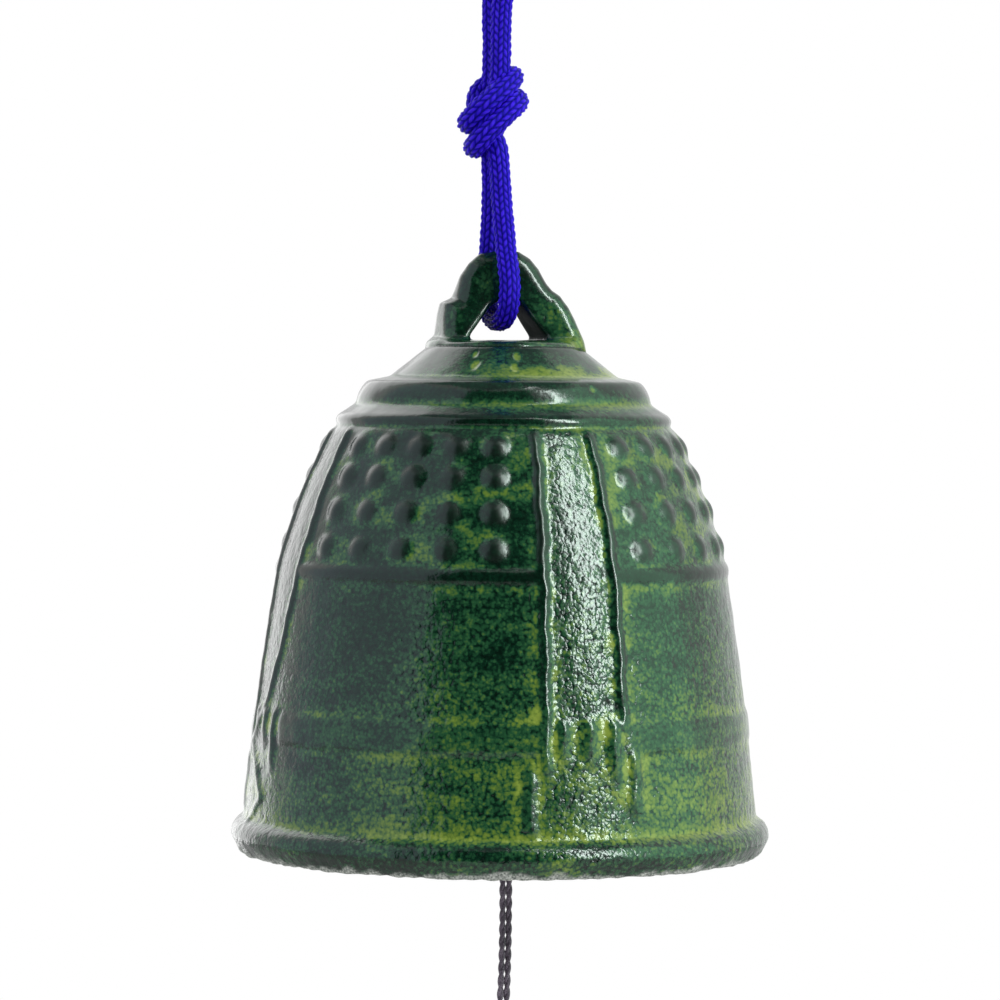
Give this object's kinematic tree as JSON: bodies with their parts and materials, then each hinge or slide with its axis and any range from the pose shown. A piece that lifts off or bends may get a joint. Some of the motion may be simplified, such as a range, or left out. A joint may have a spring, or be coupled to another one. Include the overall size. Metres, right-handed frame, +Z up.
{
  "type": "furin wind bell",
  "caption": "Cast iron wind bell shaped like a small temple bell, hung on a knotted braided cord, with a disc clapper and a paper wind strip on a thin string.",
  "frame": {"origin": "where a hook bears inside the cord's hanging loop, on the bell's axis", "axes": "+Z up along the bell's axis, X across the crown lug's plate and along the clapper staple's bar, Y through the lug's eye"},
  "size_m": [0.07, 0.07, 0.2947],
  "materials": {
    "bell_iron": "glossy dark green lacquer over sand-cast iron, yellow-green patina in the recesses",
    "clapper_iron": "dark satin casting",
    "staple_steel": "dull bent wire",
    "cord_braid": "blue-violet braid with a soft sheen",
    "string_twist": "grey-violet twisted thread",
    "strip_paper": "matte plain paper with fibres"
  },
  "bodies": {
    "hanging_cord": {"cord_end_knot": "cord_braid", "cord_tails": "cord_braid", "cord_hanging_loop": "cord_braid", "cord_knot": "cord_braid"},
    "lug_loop": {"cord_lug_loop": "cord_braid"},
    "bell": {"bell": "bell_iron", "clapper_eye": "staple_steel"},
    "string_bight": {"string_bight": "string_twist"},
    "clapper": {"clapper_string": "string_twist", "clapper": "clapper_iron", "clapper_stop_knot": "string_twist"},
    "wind_string": {"wind_string": "string_twist", "strip_tie_knot": "string_twist"},
    "strip_loop": {"strip_loop": "string_twist"},
    "wind_strip": {"wind_strip": "strip_paper"}
  },
  "joints": [
    {"name": "cord_swing", "type": "hinge", "parent": "hanging_cord", "child": "lug_loop", "pos_m": [0, 0, -0.0324], "axis": [1, 0, 0], "range_deg": [-20, 20]},
    {"name": "bell_rock", "type": "hinge", "parent": "lug_loop", "child": "bell", "pos_m": [0, 0, -0.057], "axis": [0, 1, 0], "range_deg": [-25, 25]},
    {"name": "clapper_swing_x", "type": "hinge", "parent": "bell", "child": "string_bight", "pos_m": [0, 0, -0.06942], "axis": [1, 0, 0], "range_deg": [-18, 18]},
    {"name": "clapper_swing_y", "type": "hinge", "parent": "string_bight", "child": "clapper", "pos_m": [0, 0, -0.07157], "axis": [0, 1, 0], "range_deg": [-18, 18]},
    {"name": "wind_string_swing", "type": "hinge", "parent": "clapper", "child": "wind_string", "pos_m": [0, 0, -0.11445], "axis": [1, 0, 0], "range_deg": [-12, 12]},
    {"name": "strip_turn", "type": "hinge", "parent": "wind_string", "child": "strip_loop", "pos_m": [0, 0, -0.15402], "axis": [0, 0, 1], "range_deg": [-180, 180]},
    {"name": "strip_rock", "type": "hinge", "parent": "strip_loop", "child": "wind_strip", "pos_m": [0, 0, -0.16195], "axis": [0, 1, 0], "range_deg": [-25, 25]}
  ]
}
